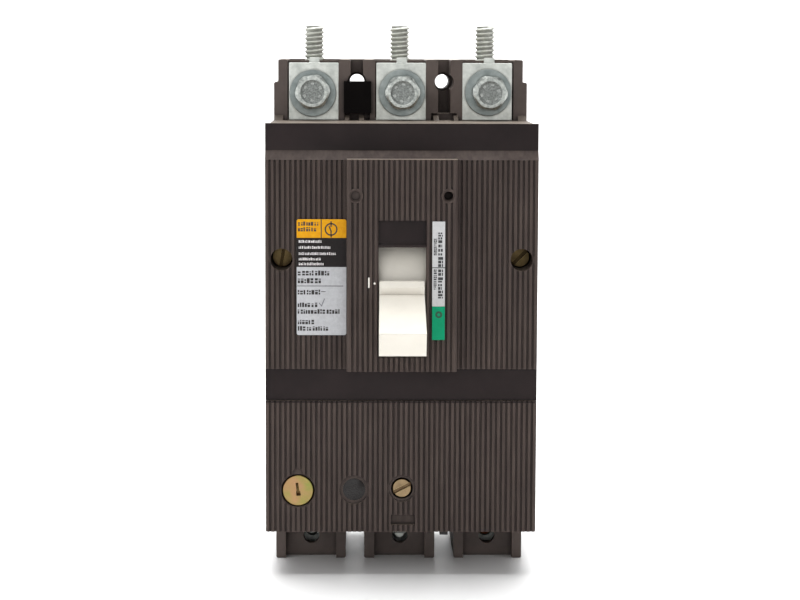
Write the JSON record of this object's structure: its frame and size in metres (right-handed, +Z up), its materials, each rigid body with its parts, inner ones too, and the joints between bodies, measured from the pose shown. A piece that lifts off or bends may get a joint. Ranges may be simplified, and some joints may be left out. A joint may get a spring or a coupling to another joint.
{
  "type": "molded case breaker",
  "caption": "Three-pole molded case circuit breaker with a ribbed dark housing, ivory toggle, stud line terminals, trip button and setting dial.",
  "frame": {"origin": "on the rear mounting plane, mid width, level with the bottom of the feet", "axes": "+X to the right across the poles, +Z up towards the line terminals, -Y towards the front with the toggle"},
  "size_m": [0.1056, 0.1188, 0.2146],
  "materials": {
    "case_plastic": "fine matte moulded",
    "inner_plastic": "matte moulded",
    "toggle_plastic": "satin ivory",
    "steel": "satin",
    "zinc_plate": "zinc plated",
    "spring_steel": "satin",
    "copper": "bare copper",
    "silver_contact": "silver",
    "brass": "aged",
    "yellow_zinc": "yellow passivated",
    "black_plastic": "matte",
    "fibre_board": "pressed fibre",
    "label_print": "printed film",
    "green_print": "printed film"
  },
  "bodies": {
    "housing": {"arc_chute_plates_centre": "steel", "arc_chute_plates_left": "steel", "arc_chute_plates_right": "steel", "arc_chute_walls": "fibre_board", "armature_pins": "steel", "base": "case_plastic", "bimetals": "steel", "cover_latch": "black_plastic", "cradle": "steel", "cradle_pin": "steel", "fixed_contact_tips": "silver_contact", "flexible_braids": "copper", "knockout_plug": "case_plastic", "line_bolts": "zinc_plate", "line_conductors": "copper", "line_studs": "zinc_plate", "line_terminal_blocks": "zinc_plate", "line_terminal_plates": "zinc_plate", "line_washers": "zinc_plate", "load_conductors": "copper", "load_terminal_clamps": "zinc_plate", "load_terminal_screws": "zinc_plate", "lower_cover": "case_plastic", "lower_cover_screw": "brass", "magnet_yokes": "steel", "mechanism_screws": "zinc_plate", "mechanism_side_plates": "steel", "mechanism_spacers": "steel", "off_strip": "green_print", "phase_slot_plug": "black_plastic", "rating_label": "label_print", "side_label": "label_print", "threaded_inserts": "brass", "toggle_pivot_pin": "steel", "trip_button_spring": "spring_steel", "trip_frame": "inner_plastic", "trip_latch_pin": "steel", "upper_cover": "case_plastic", "upper_cover_screws": "brass"},
    "toggle": {"toggle_handle": "toggle_plastic", "toggle_yoke": "steel", "main_springs": "spring_steel"},
    "crossbar": {"crossbar": "inner_plastic", "crossbar_link_pin": "steel", "moving_contact_arm_left": "copper", "moving_contact_arm_centre": "copper", "moving_contact_arm_right": "copper", "moving_contact_tips": "silver_contact", "contact_springs": "spring_steel"},
    "upper_links": {"upper_toggle_links": "steel", "knee_pin": "steel"},
    "lower_links": {"lower_toggle_links": "steel"},
    "trip_button": {"trip_button": "black_plastic"},
    "trip_bar": {"trip_bar": "inner_plastic"},
    "trip_latch": {"trip_latch": "steel"},
    "setting_dial": {"setting_dial": "yellow_zinc", "setting_dial_clip": "spring_steel"},
    "armature_left": {"armature_left": "steel"},
    "armature_centre": {"armature_centre": "steel"},
    "armature_right": {"armature_right": "steel"}
  },
  "joints": [
    {"name": "toggle_swing", "type": "hinge", "parent": "housing", "child": "toggle", "pos_m": [0, -0.052, 0.108], "axis": [-1, 0, 0], "range_deg": [0, 24.2], "deforming": ["main_springs"]},
    {"name": "crossbar_turn", "type": "hinge", "parent": "housing", "child": "crossbar", "pos_m": [0, -0.03, 0.095], "axis": [-1, 0, 0], "range_deg": [0, 35], "deforming": ["flexible_braids"]},
    {"name": "upper_link_turn", "type": "hinge", "parent": "housing", "child": "upper_links", "pos_m": [0, -0.062, 0.096], "axis": [-1, 0, 0], "range_deg": [-30.2, 0]},
    {"name": "lower_link_turn", "type": "hinge", "parent": "crossbar", "child": "lower_links", "pos_m": [0, -0.038, 0.105], "axis": [-1, 0, 0], "range_deg": [-5.2, 0]},
    {"name": "trip_button_push", "type": "slide", "parent": "housing", "child": "trip_button", "axis": [0, 1, 0], "range_m": [0, 0.003], "stiffness_N_per_m": 300, "springref_m": -0.002, "deforming": ["trip_button_spring"]},
    {"name": "trip_bar_turn", "type": "hinge", "parent": "housing", "child": "trip_bar", "pos_m": [0, -0.039, 0.065], "axis": [1, 0, 0], "range_deg": [0, 6.3]},
    {"name": "trip_latch_turn", "type": "hinge", "parent": "housing", "child": "trip_latch", "pos_m": [0, -0.058, 0.076], "axis": [1, 0, 0], "range_deg": [0, 10]},
    {"name": "setting_dial_turn", "type": "hinge", "parent": "housing", "child": "setting_dial", "pos_m": [-0.0402, -0.0855, 0.0336], "axis": [0, 1, 0], "range_deg": [0, 270]},
    {"name": "armature_left_pull", "type": "hinge", "parent": "housing", "child": "armature_left", "pos_m": [-0.035, -0.033, 0.043], "axis": [-1, 0, 0], "range_deg": [0, 6], "stiffness_Nm_per_rad": 0.05, "springref_deg": -11.46},
    {"name": "armature_centre_pull", "type": "hinge", "parent": "housing", "child": "armature_centre", "pos_m": [0, -0.033, 0.043], "axis": [-1, 0, 0], "range_deg": [0, 6], "stiffness_Nm_per_rad": 0.05, "springref_deg": -11.46},
    {"name": "armature_right_pull", "type": "hinge", "parent": "housing", "child": "armature_right", "pos_m": [0.035, -0.033, 0.043], "axis": [-1, 0, 0], "range_deg": [0, 6], "stiffness_Nm_per_rad": 0.05, "springref_deg": -11.46}
  ],
  "couplings": [
    {"joint": "crossbar_turn", "follows": "toggle_swing", "ratio": 1.446},
    {"joint": "upper_link_turn", "follows": "toggle_swing", "ratio": -1.2438},
    {"joint": "lower_link_turn", "follows": "toggle_swing", "ratio": -0.2107},
    {"joint": "trip_bar_turn", "follows": "trip_button_push", "rad_per_m": 36},
    {"joint": "trip_latch_turn", "follows": "trip_button_push", "rad_per_m": 58}
  ]
}
